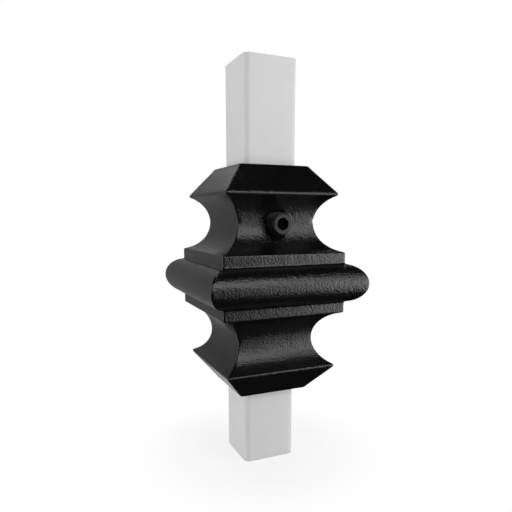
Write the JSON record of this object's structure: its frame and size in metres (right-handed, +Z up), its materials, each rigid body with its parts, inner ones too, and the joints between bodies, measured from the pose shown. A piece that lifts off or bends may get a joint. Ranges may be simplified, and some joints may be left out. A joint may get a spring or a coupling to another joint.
{
  "type": "baluster knuckle on square bar",
  "caption": "Square iron baluster bar with a cast decorative knuckle: pyramid slopes, hollow mouldings, flat bands and a round bead, clamped by a hex-socket set screw.",
  "frame": {"origin": "centre of the flat lower end of the bar", "axes": "+Z up along the bar, -Y out of the knuckle face that carries the set screw, +X to the right of that face"},
  "size_m": [0.0374, 0.0374, 0.0925],
  "materials": {
    "bar": "light grey primer on square iron bar, matt",
    "knuckle": "satin black powder coat with a fine orange-peel grain over the casting",
    "set_screw": "satin black coated steel"
  },
  "bodies": {
    "root": {"bar": "bar", "knuckle": "knuckle", "set_screw": "set_screw"}
  },
  "joints": []
}
